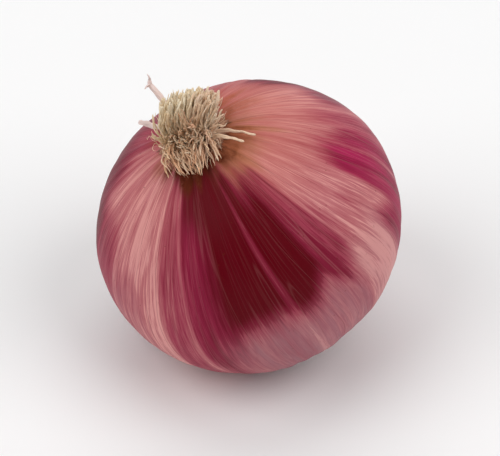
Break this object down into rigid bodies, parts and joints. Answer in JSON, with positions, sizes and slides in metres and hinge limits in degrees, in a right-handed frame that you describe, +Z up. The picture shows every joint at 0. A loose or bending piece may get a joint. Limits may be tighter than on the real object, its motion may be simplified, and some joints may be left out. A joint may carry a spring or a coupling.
{
  "type": "red onion",
  "caption": "Whole unpeeled red onion bulb lying on its shoulder, with papery crimson skin, a mop of short dried roots on its root plate, and a dried neck folded along the table.",
  "frame": {"origin": "middle of the small flat spot that the bulb rests on, in the plane of the table top", "axes": "+Z is up. The root end leans over to the -X side. The dried neck lies along the table towards +Y. The picture's side of the onion faces -Y."},
  "size_m": [0.0604, 0.0666, 0.0617],
  "materials": {
    "onion_skin": "satin",
    "root_plate_cork": "matte",
    "dried_neck": "matte",
    "dried_root": "matte"
  },
  "bodies": {
    "root": {"bulb": "onion_skin", "root_plate": "root_plate_cork", "dry_neck": "dried_neck", "root_centre": "dried_root", "root_inner_01": "dried_root", "root_inner_02": "dried_root", "root_inner_03": "dried_root", "root_inner_04": "dried_root", "root_inner_05": "dried_root", "root_inner_06": "dried_root", "root_middle_01": "dried_root", "root_middle_02": "dried_root", "root_middle_03": "dried_root", "root_middle_04": "dried_root", "root_middle_05": "dried_root", "root_middle_06": "dried_root", "root_middle_07": "dried_root", "root_middle_08": "dried_root", "root_middle_09": "dried_root", "root_middle_10": "dried_root", "root_middle_11": "dried_root", "root_outer_01": "dried_root", "root_outer_02": "dried_root", "root_outer_03": "dried_root", "root_outer_04": "dried_root", "root_outer_05": "dried_root", "root_outer_06": "dried_root", "root_outer_07": "dried_root", "root_outer_08": "dried_root", "root_outer_09": "dried_root", "root_outer_10": "dried_root", "root_outer_11": "dried_root", "root_outer_12": "dried_root", "root_outer_13": "dried_root", "root_outer_14": "dried_root", "root_outer_15": "dried_root", "root_outer_16": "dried_root", "root_outer_17": "dried_root", "root_stray_forked": "dried_root", "root_stray_left": "dried_root", "root_stray_right_upper": "dried_root", "root_stray_right_lower": "dried_root"}
  },
  "joints": []
}
